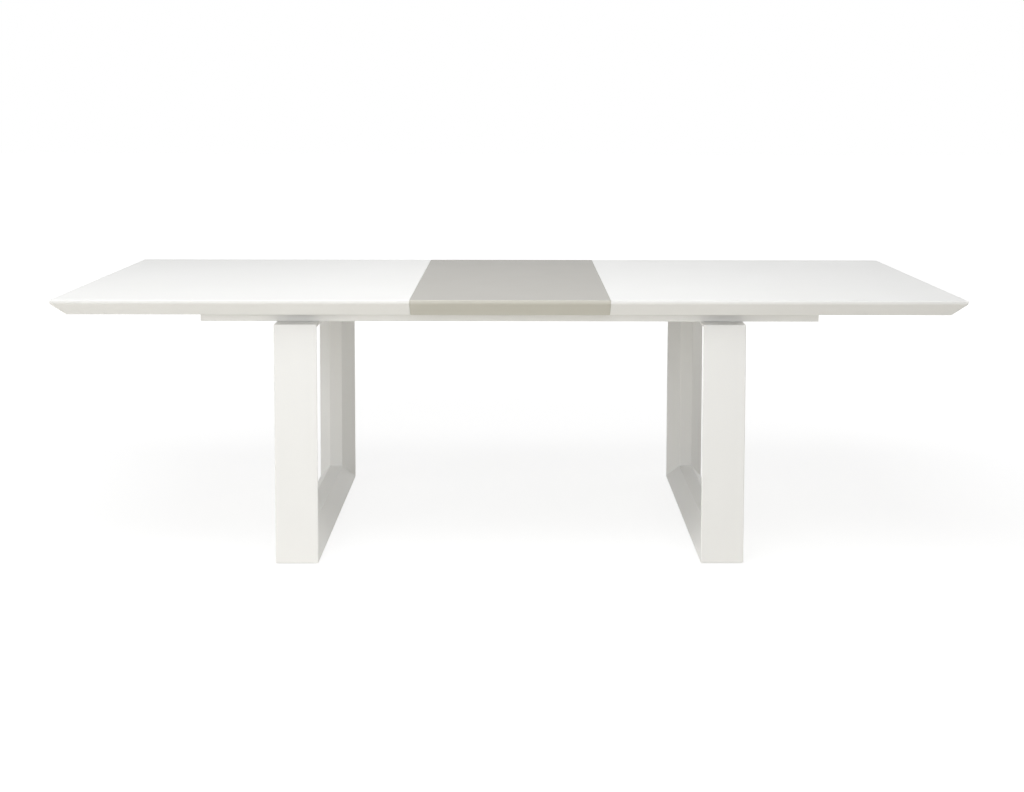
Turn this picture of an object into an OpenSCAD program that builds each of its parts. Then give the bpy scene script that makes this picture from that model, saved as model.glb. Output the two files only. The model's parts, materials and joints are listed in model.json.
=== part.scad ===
// Extendable dining table, shown pulled open with its drop-in leaf in place.
// Millimetres, +Z up. The origin is on the floor under the middle of the top:
// X runs along the table, Y from the front to the back.

/* [Table top] */
// Height of the top above the floor
table_height = 754; // [620:1:900]
// Width of the top, front to back
top_width = 1000; // [830:10:1200]
// Length of each sliding half of the top
half_length = 988; // [820:1:1190]
// Length of the opening that the leaf fills
leaf_length = 555; // [450:1:670]
// Full thickness of the top
top_thickness = 46; // [35:1:50]
// Height of the upright band above the under-bevel
edge_height = 10; // [8:1:13]
// Thickness of the lacquered panels
panel_thickness = 22; // [18:1:26]
// Width of the build-up strips under the seam edges
seam_edging_width = 120; // [100:5:140]
// Gap left at each seam
seam_gap = 0.5; // [0.3:0.1:1]
// Radius of the softened edges
arris = 3; // [1:0.5:3.5]
// Width of the battens that keep a panel flat
batten_width = 60; // [40:5:80]

/* [Leg frames] */
// Width of a leg member on its outer face
leg_width = 120; // [100:5:144]
// Width of a leg member on its inner face
leg_inner_width = 42; // [35:1:50]
// Thickness of a leg member, outer face to inner face
leg_thickness = 52; // [44:1:62]
// Distance from the top's long edge to a leg frame's outer face
leg_setback = 40; // [20:1:60]
// Distance from the underframe's end to a leg's centre
leg_inset = 274; // [230:2:330]
// Height and diameter of a floor glide
glide = [3, 28];
// Splines across the mitres: length, depth and thickness
spline = [30, 24, 4];

/* [Underframe] */
// Distance from the end of the closed top to the end of the underframe
frame_setback = 116; // [90:2:140]
// Distance from the top's long edge to the face of the side rail
rail_setback = 96; // [80:2:115]
// Height of the side and end rails
rail_height = 27; // [22:0.5:33]
// Thickness of the side and end rails
rail_thickness = 22; // [18:1:26]
// Running gap between the rails and the sliding halves
running_gap = 1; // [0.8:0.1:1.5]
// Diameter and length of the rail dowels
dowel = [8, 30];

/* [Runners] */
// Depth of the guide channels, from the side rail inwards
channel_depth = 20; // [18:1:24]
// Wall of the guide channels
channel_wall = 3; // [2.5:0.5:3.5]
// Sheet thickness of the leg saddles and the centre bridge
sheet = 3; // [2.5:0.5:3.5]
// Running clearance of the glide shoes in the channels
slide_clearance = 0.3; // [0.2:0.1:0.4]
// Wall of the glide shoes
shoe_wall = 1.7; // [1.5:0.1:2]
// Length of a glide shoe
shoe_length = 40; // [30:5:50]
// Distance that the halves open past the leaf to release it
release_travel = 35; // [25:1:42]
// Length of the rubber end buffers
buffer_length = 14; // [10:1:18]

/* [Synchroniser] */
// Module of the rack and pinion teeth
gear_module = 2.5; // [2:0.25:2.75]
// Number of teeth on the pinion
pinion_teeth = 20; // [17:1:24]
// Pressure angle of the teeth
pressure_angle = 20; // [20:1:25]
// Free play between the teeth, measured along the pitch line
backlash = 0.4; // [0.3:0.1:0.6]
// Height of the racks
rack_height = 8; // [6:0.5:9]
// Width of a rack behind its teeth
rack_back = 11; // [9:1:14]
// Diameter of the pinion's axle
axle_diameter = 10; // [8:1:12]
// Radial running clearance of the pinion on its axle
axle_clearance = 0.05; // [0.03:0.01:0.08]

/* [Hidden] */

// Finishes
white_lacquer = "#f2f1ed";
taupe_lacquer = "#b7b2a6";
beech = "#d3b48a";
aluminium = "#b9bcbf";
zinc_steel = "#a6a9ac";
nylon = "#e6e3d8";
black_rubber = "#2c2c2c";
felt = "#6f6a62";
bronze = "#a9824c";

// Slack that lets a glued, pressed or screwed piece into its seat
seat_slack = 0.05;
// Number of straight steps in a softened edge
arris_steps = 3;
// Radius where the upright band turns into the under-bevel
band_arris = 2.5 * arris;
// Play beside each pin, shank and dowel in its hole
hole_slack = 0.1;

// Heights
underside_z = table_height - top_thickness;
panel_z = table_height - panel_thickness;
rail_top_z = underside_z - running_gap;
frame_z = rail_top_z - rail_height;
channel_z = frame_z + sheet;
channel_top_z = rail_top_z - 3;
slot_z = channel_z + channel_wall;
slot_top_z = channel_top_z - channel_wall;
leg_foot_z = glide[0];
leg_height = frame_z - leg_foot_z;

// Places along the table
seam_x = leaf_length / 2;
end_x = seam_x + half_length;
frame_end_x = half_length - frame_setback;
end_rail_x = frame_end_x - rail_thickness;
leg_x = frame_end_x - leg_inset;
stop_gap = 0.5;
runner_x = seam_x + 6;
runner_end_x = end_rail_x - buffer_length - stop_gap - release_travel;
runner_length = runner_end_x - runner_x;
leaf_end_x = seam_x - seam_gap;

// Places across the table
half_width = top_width / 2;
rail_face_y = half_width - rail_setback;
rail_back_y = rail_face_y - rail_thickness;
channel_y = rail_back_y - channel_depth;
slot_y = rail_back_y - channel_wall;
leg_face_y = half_width - leg_setback;
flange_end_y = channel_y - 24;

// Runner bar section, inside and beside its channel
body_y = slot_y - slide_clearance - shoe_wall;
body_inner_y = channel_y + 2;
body_z = slot_z + slide_clearance + shoe_wall;
body_top_z = slot_top_z - slide_clearance - shoe_wall;
neck_y = channel_y - 10;
upright = 5;
neck = 5;
neck_z = (slot_z + slot_top_z) / 2;
wing_y = neck_y - 21;
wing_outer_y = channel_y + 10;
wing = channel_wall;
wing_screw_y = wing_y + 8;

// Build-up strips: the long ones reach just past the runners' wings
edging_y = wing_y - 1;
edging_width = half_width - edging_y;

// Racks and pinion
pitch_radius = gear_module * pinion_teeth / 2;
tooth_pitch = PI * gear_module;
base_radius = pitch_radius * cos(pressure_angle);
tip_radius = pitch_radius + gear_module;
root_radius = pitch_radius - 1.25 * gear_module;
rack_foot_height = 4;
rack_z = underside_z - rack_foot_height - rack_height;
flange_height = rack_z - 3 - frame_z;
rack_lead = 60;
rack_foot = [seam_x + 22, seam_x + 114];
hub_radius = root_radius - 7;
bush_wall = 2;
axle_flange = [2.5, 13];
washer = 1;
circlip = 1;

// Length, width and depth of the slots of a screw's cross recess
recess = [4.6, 0.9, 2];

// Fasteners: radius of the head, radius of the shank, depth of the head
screw = [4, 1.9, channel_wall];
screw_point = 3;
bolt = [6.5, 4, 8];
insert = [6, 20];
channel_screw_x = [-0.42, -0.21, 0, 0.21, 0.42];

// How far every screw under the top goes into its edging, and the battens' thickness
edging_screw_depth = panel_z - underside_z - 4;
batten_thickness = panel_z - underside_z - 4;

// Screws through the channels' lower flanges
plate_screw_y = channel_y + 8;

// ---------------------------------------------------------------- outlines

// Arc that replaces the corner at p, between its neighbours a and b
function softened_corner(a, p, b, radius, steps = arris_steps) =
    let (
        u = (a - p) / norm(a - p),
        v = (b - p) / norm(b - p),
        half_angle = acos(u * v) / 2,
        centre = p + (u + v) / norm(u + v) * radius / sin(half_angle),
        start = p + u * radius / tan(half_angle) - centre,
        end = p + v * radius / tan(half_angle) - centre,
        start_angle = atan2(start[1], start[0]),
        turn = (atan2(end[1], end[0]) - start_angle + 540) % 360 - 180
    )
    [for (i = [0:steps])
        let (angle = start_angle + turn * i / steps)
        centre + radius * [cos(angle), sin(angle)]];

// Outline with every corner softened
function softened(outline, radius) =
    let (count = len(outline))
    [for (i = [0:count - 1])
        each softened_corner(outline[(i + count - 1) % count], outline[i],
                             outline[(i + 1) % count], radius)];

// Under-bevelled edge from the underside round the upright band to the top, at a given reach
function bevelled_edge(reach) =
    let (
        foot = [reach - top_thickness + edge_height, underside_z],
        band_foot = [reach, table_height - edge_height],
        band_top = [reach, table_height]
    )
    concat([foot],
           softened_corner(foot, band_foot, band_top, band_arris),
           softened_corner(band_foot, band_top, [reach - top_thickness, table_height], arris));

function mirrored(points) =
    [for (i = [len(points) - 1:-1:0]) [-points[i][0], points[i][1]]];

module flip_x(on) {
    if (on) mirror([1, 0, 0]) children();
    else children();
}

module flip_y(on) {
    if (on) mirror([0, 1, 0]) children();
    else children();
}

// A half turn about the table's middle swaps the halves and leaves them alike
module half_turn(on) {
    rotate([0, 0, on ? 180 : 0]) children();
}

// Extrudes a Y-Z outline along X
module along_x(from, to) {
    translate([from, 0, 0])
        rotate([90, 0, 90])
            linear_extrude(to - from) children();
}

// Extrudes an X-Z outline along Y, centred on the table
module along_y(length) {
    rotate([90, 0, 0])
        linear_extrude(length, center = true) children();
}

module slab(from, to) {
    translate(from) cube(to - from);
}

// Hole for a countersunk screw that points up from its head's face
module screw_hole(length) {
    cylinder(h = screw[2], r1 = screw[0] + hole_slack, r2 = screw[1] + hole_slack, $fn = 48);
    cylinder(h = length + hole_slack, r = screw[1] + hole_slack, $fn = 48);
}

// Countersunk screw that points up, with a cross recess in its head
module screw_up(length) {
    difference() {
        union() {
            cylinder(h = screw[2], r1 = screw[0], r2 = screw[1], $fn = 48);
            cylinder(h = length - screw_point, r = screw[1], $fn = 48);
            translate([0, 0, length - screw_point])
                cylinder(h = screw_point, r1 = screw[1], r2 = 0.3, $fn = 48);
        }
        for (turn = [0, 90])
            rotate([0, 0, turn])
                slab([-recess[0] / 2, -recess[1] / 2, -1], [recess[0] / 2, recess[1] / 2, recess[2]]);
    }
}

// ---------------------------------------------------------------- leg frames

// Trapezoid section of every leg member, outer face on the first axis. Softening takes
// more off its acute outer corners, so they start that much wider.
function member_section() =
    let (
        corner = atan2(leg_thickness, (leg_width - leg_inner_width) / 2),
        outer = leg_width / 2 + arris * (1 / tan(corner / 2) - 1),
        inner = leg_inner_width / 2
    )
    softened([[-outer, 0], [outer, 0], [inner, leg_thickness], [-inner, leg_thickness]], arris);

// Outer outline of a leg frame in Y-Z
function frame_outline() = softened([
    [-leg_face_y, leg_foot_z], [leg_face_y, leg_foot_z],
    [leg_face_y, frame_z], [-leg_face_y, frame_z]], arris);

// Slots for the splines, one across each mitre
module spline_shapes(slack) {
    inset = leg_thickness / 2;
    for (row = [-1, 1], level = [-1, 1])
        translate([0, row * (leg_face_y - inset),
                   leg_foot_z + leg_height / 2 + level * (leg_height / 2 - inset)])
            rotate([row * level * 45, 0, 0])
                cube([spline[0] + 2 * slack, spline[1] + 2 * slack, spline[2] + 2 * slack],
                     center = true);
}

module front_post() {
    difference() {
        intersection() {
            translate([0, -leg_face_y, leg_foot_z])
                linear_extrude(leg_height) polygon(member_section());
            along_x(-leg_width, leg_width) polygon(frame_outline());
            along_x(-leg_width, leg_width) polygon([
                [-leg_face_y, leg_foot_z], [-leg_face_y, frame_z],
                [-leg_face_y + leg_thickness, frame_z - leg_thickness],
                [-leg_face_y + leg_thickness, leg_foot_z + leg_thickness]]);
        }
        spline_shapes(seat_slack);
    }
}

module leg_post(side, row) {
    color(white_lacquer)
        translate([side * leg_x, 0, 0])
            flip_y(row > 0) front_post();
}

// Floor rail blank: the top rail is the same piece turned over
module floor_rail_blank() {
    intersection() {
        along_y(2 * leg_face_y)
            translate([0, leg_foot_z]) polygon(member_section());
        along_x(-leg_width, leg_width) polygon(frame_outline());
        along_x(-leg_width, leg_width) polygon([
            [-leg_face_y, leg_foot_z], [leg_face_y, leg_foot_z],
            [leg_face_y - leg_thickness, leg_foot_z + leg_thickness],
            [-leg_face_y + leg_thickness, leg_foot_z + leg_thickness]]);
    }
}

glide_x = leg_width / 2 - 24;
glide_y = leg_face_y - 36;
glide_pin = [12, 3];

module floor_rail(side) {
    color(white_lacquer)
        translate([side * leg_x, 0, 0])
            difference() {
                floor_rail_blank();
                spline_shapes(seat_slack);
                for (x = [-1, 1], y = [-1, 1])
                    translate([x * glide_x, y * glide_y, leg_foot_z - 1])
                        cylinder(h = glide_pin[0] + 2, r = glide_pin[1] + seat_slack, $fn = 32);
            }
}

module top_rail(side) {
    color(white_lacquer)
        translate([side * leg_x, 0, 0])
            difference() {
                translate([0, 0, leg_foot_z + frame_z])
                    mirror([0, 0, 1]) floor_rail_blank();
                spline_shapes(seat_slack);
                bolt_places() translate([0, 0, frame_z - insert[1] - 12])
                    cylinder(h = 12 + 1, r = bolt[1] + hole_slack, $fn = 48);
                bolt_places() translate([0, 0, frame_z - insert[1]])
                    cylinder(h = insert[1] + 1, r = insert[0] + seat_slack, $fn = 48);
                saddle_screw_places(leg_screw_x)
                    translate([0, 0, -leg_screw_length - hole_slack])
                        cylinder(h = leg_screw_length + 1, r = screw[1] + hole_slack, $fn = 48);
            }
}

module mitre_splines() {
    color(beech)
        for (side = [-1, 1])
            translate([side * leg_x, 0, 0]) spline_shapes(0);
}

// Nail-in glides: a disc with a pin that is driven into the floor rail
module floor_glides() {
    color(nylon)
        for (side = [-1, 1], x = [-1, 1], y = [-1, 1])
            translate([side * leg_x + x * glide_x, y * glide_y, 0])
                rotate_extrude($fn = 64) polygon([
                    [0, 0], [glide[1] / 2 - 1, 0], [glide[1] / 2, 1], [glide[1] / 2, glide[0]],
                    [glide_pin[1], glide[0]], [glide_pin[1], glide[0] + glide_pin[0] - 2],
                    [1, glide[0] + glide_pin[0]], [0, glide[0] + glide_pin[0]]]);
}

// Where the bolts go down through a saddle into its leg
bolt_x = 22;
bolt_y = 200;

module bolt_places() {
    for (x = [-bolt_x, bolt_x], y = [-bolt_y, bolt_y])
        translate([x, y, 0]) children();
}

module leg_inserts() {
    color(zinc_steel)
        for (side = [-1, 1])
            translate([side * leg_x, 0, frame_z - insert[1]])
                bolt_places() difference() {
                    cylinder(h = insert[1], r = insert[0], $fn = 48);
                    translate([0, 0, -1])
                        cylinder(h = insert[1] + 2, r = bolt[1] + hole_slack, $fn = 48);
                }
}

// Socket-head bolts, heads on the saddle
module leg_bolts() {
    shank = sheet + insert[1] + 8;
    color(zinc_steel)
        for (side = [-1, 1])
            translate([side * leg_x, 0, channel_z])
                bolt_places() difference() {
                    union() {
                        translate([0, 0, -shank])
                            cylinder(h = shank + 1, r = bolt[1], $fn = 48);
                        cylinder(h = bolt[2], r = bolt[0], $fn = 48);
                    }
                    translate([0, 0, bolt[2] - 4]) cylinder(h = 5, r = 3.4, $fn = 6);
                }
}

// ---------------------------------------------------------------- underframe

module side_rail(row) {
    color(white_lacquer)
        flip_y(row < 0) difference() {
            along_x(-frame_end_x, frame_end_x) polygon(softened([
                [rail_back_y, frame_z], [rail_face_y, frame_z],
                [rail_face_y, rail_top_z], [rail_back_y, rail_top_z]], arris));
            dowel_places() cylinder(h = dowel_reach + hole_slack,
                                    r = dowel[0] / 2 + seat_slack, $fn = 48);
            channel_screw_places()
                cylinder(h = channel_screw_length + hole_slack - channel_wall,
                         r = screw[1] + hole_slack, $fn = 48);
        }
}

// The dowel goes this far into the side rail, and the rest of it into the end rail
dowel_reach = 12;

// Dowel axes at both ends of the rear side rail, pointing from its back into it
module dowel_places() {
    for (x = [-1, 1])
        translate([x * (frame_end_x - rail_thickness / 2), rail_back_y,
                   frame_z + rail_height / 2])
            rotate([-90, 0, 0]) children();
}

module end_rail(side) {
    color(white_lacquer)
        flip_x(side < 0) difference() {
            along_y(2 * rail_back_y) polygon(softened([
                [end_rail_x, frame_z], [frame_end_x, frame_z],
                [frame_end_x, rail_top_z], [end_rail_x, rail_top_z]], arris));
            for (row = [-1, 1])
                flip_y(row < 0) dowel_places()
                    translate([0, 0, dowel_reach - dowel[1] - hole_slack])
                        cylinder(h = dowel[1], r = dowel[0] / 2 + seat_slack, $fn = 48);
        }
}

module rail_dowels() {
    color(beech)
        for (row = [-1, 1])
            flip_y(row < 0) dowel_places()
                translate([0, 0, dowel_reach - dowel[1]])
                    cylinder(h = dowel[1], r = dowel[0] / 2, $fn = 48);
}

// Screw axes through a guide channel's web into the rear side rail, from the rail's back
module channel_screw_places() {
    for (share = channel_screw_x)
        translate([share * 2 * end_rail_x, rail_back_y, neck_z])
            rotate([-90, 0, 0]) children();
}

channel_screw_length = 18;

// Aluminium channel, open towards the middle of the table
module guide_channel(row) {
    color(aluminium)
        flip_y(row < 0) difference() {
            along_x(-end_rail_x, end_rail_x) polygon([
                [channel_y, channel_z], [rail_back_y, channel_z],
                [rail_back_y, channel_top_z], [channel_y, channel_top_z],
                [channel_y, slot_top_z], [slot_y, slot_top_z],
                [slot_y, slot_z], [channel_y, slot_z]]);
            channel_screw_places()
                translate([0, 0, -channel_wall]) screw_hole(channel_screw_length);
            for (place = [[-leg_x, leg_screw_x], [0, bridge_screw_x], [leg_x, leg_screw_x]],
                 x = [-1, 1])
                translate([place[0] + x * place[1], plate_screw_y, slot_z])
                    mirror([0, 0, 1]) screw_hole(2 * sheet);
        }
}

module channel_screws() {
    color(zinc_steel)
        for (row = [-1, 1])
            flip_y(row < 0) channel_screw_places()
                translate([0, 0, -channel_wall]) screw_up(channel_screw_length);
}

// Screws down through a channel's lower flange into a saddle or the bridge
leg_screw_x = 18;
bridge_screw_x = 30;
leg_screw_length = 30;

module saddle_screw_places(x_offset) {
    for (x = [-x_offset, x_offset], y = [-plate_screw_y, plate_screw_y])
        translate([x, y, frame_z]) children();
}

// Outline of a plate between two folded flanges, from the left flange's top round its
// outside and back along its inside
function folded_outline(width) =
    let (
        outer = width / 2,
        inner = outer - sheet,
        top_z = frame_z + flange_height,
        outside = [[-outer, top_z], [-outer, frame_z], [outer, frame_z], [outer, top_z]],
        inside = [[inner, top_z], [inner, channel_z], [-inner, channel_z], [-inner, top_z]]
    )
    concat([outside[0]],
           softened_corner(outside[0], outside[1], outside[2], fold_radius + sheet, fold_steps),
           softened_corner(outside[1], outside[2], outside[3], fold_radius + sheet, fold_steps),
           [outside[3], inside[0]],
           softened_corner(inside[0], inside[1], inside[2], fold_radius, fold_steps),
           softened_corner(inside[1], inside[2], inside[3], fold_radius, fold_steps),
           [inside[3]]);

// Inner radius of the folds, steps in their arcs, and width of the relief cut at their ends
fold_radius = 1.5;
fold_steps = 6;
fold_relief = 3;

// Widths of the leg saddles and the centre bridge
saddle_width = leg_width - 6;
bridge_width = 96;

// Folded steel cross member: a plate with two upturned flanges between its flat ends
module cross_member(width) {
    flat = width - 2 * (fold_radius + sheet);
    along_y(2 * flange_end_y) polygon(folded_outline(width));
    slab([-flat / 2, -rail_back_y, frame_z], [flat / 2, rail_back_y, channel_z]);
    for (row = [-1, 1])
        flip_y(row < 0)
            slab([-width / 2, flange_end_y + fold_relief, frame_z],
                 [width / 2, rail_back_y, channel_z]);
}

module leg_saddle(side) {
    color(zinc_steel)
        translate([side * leg_x, 0, 0])
            difference() {
                cross_member(saddle_width);
                bolt_places() translate([0, 0, frame_z - 1])
                    cylinder(h = sheet + 2, r = bolt[1] + 0.5, $fn = 48);
                saddle_screw_places(leg_screw_x) translate([0, 0, -1])
                    cylinder(h = sheet + 2, r = screw[1] + hole_slack, $fn = 48);
            }
}

module centre_bridge() {
    color(zinc_steel)
        difference() {
            cross_member(bridge_width);
            translate([0, 0, frame_z - 1])
                cylinder(h = sheet + 2, d = axle_diameter + 2 * seat_slack, $fn = 64);
            saddle_screw_places(bridge_screw_x) translate([0, 0, -1])
                cylinder(h = sheet + 2, r = screw[1] + hole_slack, $fn = 48);
        }
}

module saddle_screws() {
    color(zinc_steel) {
        for (side = [-1, 1])
            translate([side * leg_x, 0, slot_z - frame_z])
                saddle_screw_places(leg_screw_x)
                    mirror([0, 0, 1]) screw_up(2 * sheet + leg_screw_length);
        translate([0, 0, slot_z - frame_z])
            saddle_screw_places(bridge_screw_x)
                mirror([0, 0, 1]) screw_up(slot_z - frame_z + screw_point);
    }
}

// Rubber plugs in the channel ends that stop the runners
module end_buffers() {
    color(black_rubber)
        for (side = [-1, 1], row = [-1, 1])
            flip_x(side < 0) flip_y(row < 0)
                slab([end_rail_x - buffer_length, channel_y, slot_z],
                     [end_rail_x, slot_y, slot_top_z]);
}

// Felt discs on the side rails that the leaf lies on, at a share of the way to each seam
leaf_pad_x = 0.72;
leaf_pad_diameter = rail_thickness - 6;

module leaf_pads() {
    color(felt)
        for (side = [-1, 1], row = [-1, 1])
            translate([side * leaf_pad_x * seam_x, row * (rail_back_y + rail_thickness / 2),
                       rail_top_z])
                cylinder(h = running_gap, d = leaf_pad_diameter, $fn = 48);
}

// ---------------------------------------------------------------- synchroniser

// Polar angle of an involute at a given radius, from its start on the base circle
function involute_angle(radius) =
    let (lean = acos(base_radius / radius))
    tan(lean) * 180 / PI - lean;

// Half the angle of a pinion tooth at a given radius
function tooth_half_angle(radius) =
    (tooth_pitch / 2 - backlash / 2) / (2 * pitch_radius) * 180 / PI
    + involute_angle(pitch_radius) - involute_angle(max(radius, base_radius));

function polar(radius, angle) = radius * [cos(angle), sin(angle)];

flank_radii = [for (i = [0:4]) base_radius + (tip_radius - base_radius) * i / 4];

// One tooth: up its trailing flank, across the tip, and down its leading flank
function pinion_tooth(angle) = concat(
    [polar(root_radius, angle - tooth_half_angle(base_radius))],
    [for (i = [0:4]) polar(flank_radii[i], angle - tooth_half_angle(flank_radii[i]))],
    [for (i = [4:-1:0]) polar(flank_radii[i], angle + tooth_half_angle(flank_radii[i]))],
    [polar(root_radius, angle + tooth_half_angle(base_radius))]);

pinion_foot_z = channel_z + axle_flange[0] + 0.3;
gear_foot_z = rack_z - 0.5;
pinion_top_z = rack_z + rack_height + 0.5;

module pinion() {
    color(nylon)
        difference() {
            union() {
                translate([0, 0, gear_foot_z])
                    linear_extrude(pinion_top_z - gear_foot_z)
                        polygon([for (i = [0:pinion_teeth - 1])
                            each pinion_tooth(-90 + i * 360 / pinion_teeth)]);
                translate([0, 0, pinion_foot_z])
                    cylinder(h = pinion_top_z - pinion_foot_z, r = hub_radius, $fn = 96);
            }
            translate([0, 0, pinion_foot_z - 1])
                cylinder(h = pinion_top_z - pinion_foot_z + 2,
                         r = axle_diameter / 2 + axle_clearance + bush_wall + seat_slack,
                         $fn = 96);
        }
}

module pinion_bush() {
    color(bronze)
        translate([0, 0, pinion_foot_z])
            difference() {
                cylinder(h = pinion_top_z - pinion_foot_z,
                         r = axle_diameter / 2 + axle_clearance + bush_wall, $fn = 96);
                translate([0, 0, -1])
                    cylinder(h = pinion_top_z - pinion_foot_z + 2,
                             r = axle_diameter / 2 + axle_clearance, $fn = 96);
            }
}

washer_z = pinion_top_z + 0.3;
circlip_z = washer_z + washer + 0.2;
groove_depth = 0.7;

// Shouldered pin riveted into the bridge
module pinion_axle() {
    radius = axle_diameter / 2;
    color(zinc_steel)
        rotate_extrude($fn = 96) polygon([
            [0, frame_z], [radius, frame_z], [radius, channel_z],
            [axle_flange[1], channel_z], [axle_flange[1], channel_z + axle_flange[0]],
            [radius, channel_z + axle_flange[0]], [radius, circlip_z],
            [radius - groove_depth, circlip_z], [radius - groove_depth, circlip_z + circlip],
            [radius, circlip_z + circlip], [radius - 0.5, circlip_z + circlip + 0.5],
            [0, circlip_z + circlip + 0.5]]);
}

module axle_washer() {
    color(zinc_steel)
        translate([0, 0, washer_z])
            difference() {
                cylinder(h = washer, r = hub_radius - 3, $fn = 96);
                translate([0, 0, -1])
                    cylinder(h = washer + 2, r = axle_diameter / 2 + hole_slack, $fn = 96);
            }
}

// Open ring that snaps into the axle's groove
module axle_circlip() {
    ring = axle_diameter / 2 - groove_depth + seat_slack;
    color(zinc_steel)
        translate([0, 0, circlip_z + seat_slack])
            difference() {
                cylinder(h = circlip - 2 * seat_slack, r = ring + 2.6, $fn = 96);
                translate([0, 0, -1]) cylinder(h = circlip + 2, r = ring, $fn = 96);
                slab([-2, 0, -1], [2, ring + 4, circlip + 1]);
            }
}

// One rack tooth, straight-flanked, pointing to +Y from the root line
function rack_tooth(x) =
    let (
        half_pitch_width = (tooth_pitch - backlash) / 4,
        slope = tan(pressure_angle),
        root_half = half_pitch_width + 1.25 * gear_module * slope,
        tip_half = half_pitch_width - gear_module * slope,
        root_y = -pitch_radius - 1.25 * gear_module,
        tip_y = -pitch_radius + gear_module
    )
    [[x + root_half, root_y], [x + tip_half, tip_y], [x - tip_half, tip_y],
     [x - root_half, root_y]];

// Rack of the right half, in front of the pinion, with its foot under the seam edging
module rack(side) {
    back_y = -pitch_radius - 1.25 * gear_module - rack_back;
    root_y = back_y + rack_back;
    teeth = [floor((rack_foot[0] - 6) / tooth_pitch - 1), -floor((rack_lead - 6) / tooth_pitch)];
    color(nylon)
        half_turn(side < 0) difference() {
            union() {
                translate([0, 0, rack_z])
                    linear_extrude(rack_height)
                        polygon(concat(
                            [[-rack_lead, root_y], [-rack_lead, back_y],
                             [rack_foot[1], back_y], [rack_foot[1], root_y]],
                            [for (i = [teeth[0]:-1:teeth[1]])
                                each rack_tooth((i + 0.5) * tooth_pitch)]));
                translate([0, 0, rack_z])
                    linear_extrude(underside_z - rack_z)
                        polygon(softened([
                            [rack_foot[0], back_y - 4], [rack_foot[1], back_y - 4],
                            [rack_foot[1], root_y + 3], [rack_foot[0], root_y + 3]], 3));
            }
            rack_screw_places() screw_hole(rack_screw_length);
        }
}

rack_screw_length = underside_z - rack_z + edging_screw_depth;

module rack_screw_places() {
    for (x = [rack_foot[0] + 16, rack_foot[1] - 16])
        translate([x, -pitch_radius - 1.25 * gear_module - rack_back / 2, rack_z])
            children();
}

// ---------------------------------------------------------------- sliding halves

// Outer form of the right half, from its underside to its top
module half_form() {
    intersection() {
        along_x(seam_x, end_x)
            polygon(concat(bevelled_edge(half_width), mirrored(bevelled_edge(half_width))));
        along_y(top_width)
            polygon(concat(bevelled_edge(end_x), seam_edge(seam_x)));
    }
}

// Seam edge with a fine chamfer at the top
seam_chamfer = 0.6;
function seam_edge(x) = [
    [x + seam_chamfer, table_height], [x, table_height - seam_chamfer], [x, underside_z]];

module top_panel(side) {
    color(white_lacquer)
        flip_x(side < 0) intersection() {
            half_form();
            slab([seam_x - 1, -top_width, panel_z], [end_x + 1, top_width, table_height + 1]);
        }
}

// Build-up strip under the rear edge, mitred at the outer corner
module long_edging(side, row) {
    color(white_lacquer)
        flip_x(side < 0) flip_y(row < 0) difference() {
            intersection() {
                half_form();
                translate([0, 0, underside_z])
                    linear_extrude(panel_z - underside_z) polygon([
                        [seam_x, edging_y], [end_x - edging_width, edging_y],
                        [end_x, half_width], [seam_x, half_width]]);
            }
            runner_screw_places()
                cylinder(h = edging_screw_depth + hole_slack, r = screw[1] + hole_slack,
                         $fn = 48);
        }
}

module end_edging(side) {
    color(white_lacquer)
        flip_x(side < 0) intersection() {
            half_form();
            translate([0, 0, underside_z])
                linear_extrude(panel_z - underside_z) polygon([
                    [end_x - edging_width, -edging_y], [end_x, -half_width],
                    [end_x, half_width], [end_x - edging_width, edging_y]]);
        }
}

module seam_edging(side) {
    color(white_lacquer)
        half_turn(side < 0) difference() {
            slab([seam_x, -edging_y, underside_z],
                 [seam_x + seam_edging_width, edging_y, panel_z]);
            rack_screw_places()
                translate([0, 0, underside_z - rack_z])
                    cylinder(h = edging_screw_depth + hole_slack, r = screw[1] + hole_slack,
                             $fn = 48);
            seam_plate_screw_places()
                cylinder(h = edging_screw_depth + hole_slack, r = screw[1] + hole_slack,
                         $fn = 48);
        }
}

// Battens glued under a panel, between the edgings
module battens(side) {
    span = half_length - seam_edging_width - edging_width;
    color(beech)
        flip_x(side < 0)
            for (share = [0.33, 0.67])
                translate([seam_x + seam_edging_width + share * span - batten_width / 2,
                           -edging_y, panel_z - batten_thickness])
                    cube([batten_width, 2 * edging_y, batten_thickness]);
}

// Screw axes through a runner's wing, from the underside of the top
module runner_screw_places() {
    for (share = [0.06, 0.34, 0.66, 0.94])
        translate([runner_x + share * runner_length, wing_screw_y, underside_z])
            children();
}

// Extruded bar: body in the channel, neck, upright, and wing under the edging
module runner_section() {
    polygon([
        [body_y, body_z], [body_y, body_top_z], [body_inner_y, body_top_z],
        [body_inner_y, neck_z + neck / 2], [neck_y, neck_z + neck / 2],
        [neck_y, underside_z - wing], [wing_outer_y, underside_z - wing],
        [wing_outer_y, underside_z], [wing_y, underside_z],
        [wing_y, underside_z - wing], [neck_y - upright, underside_z - wing],
        [neck_y - upright, neck_z - neck / 2], [body_inner_y, neck_z - neck / 2],
        [body_inner_y, body_z]]);
}

module runners(side) {
    color(aluminium)
        for (row = [-1, 1])
            flip_x(side < 0) flip_y(row < 0) difference() {
                along_x(runner_x, runner_end_x) runner_section();
                runner_screw_places() translate([0, 0, -wing])
                    screw_hole(wing + 1);
            }
}

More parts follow.
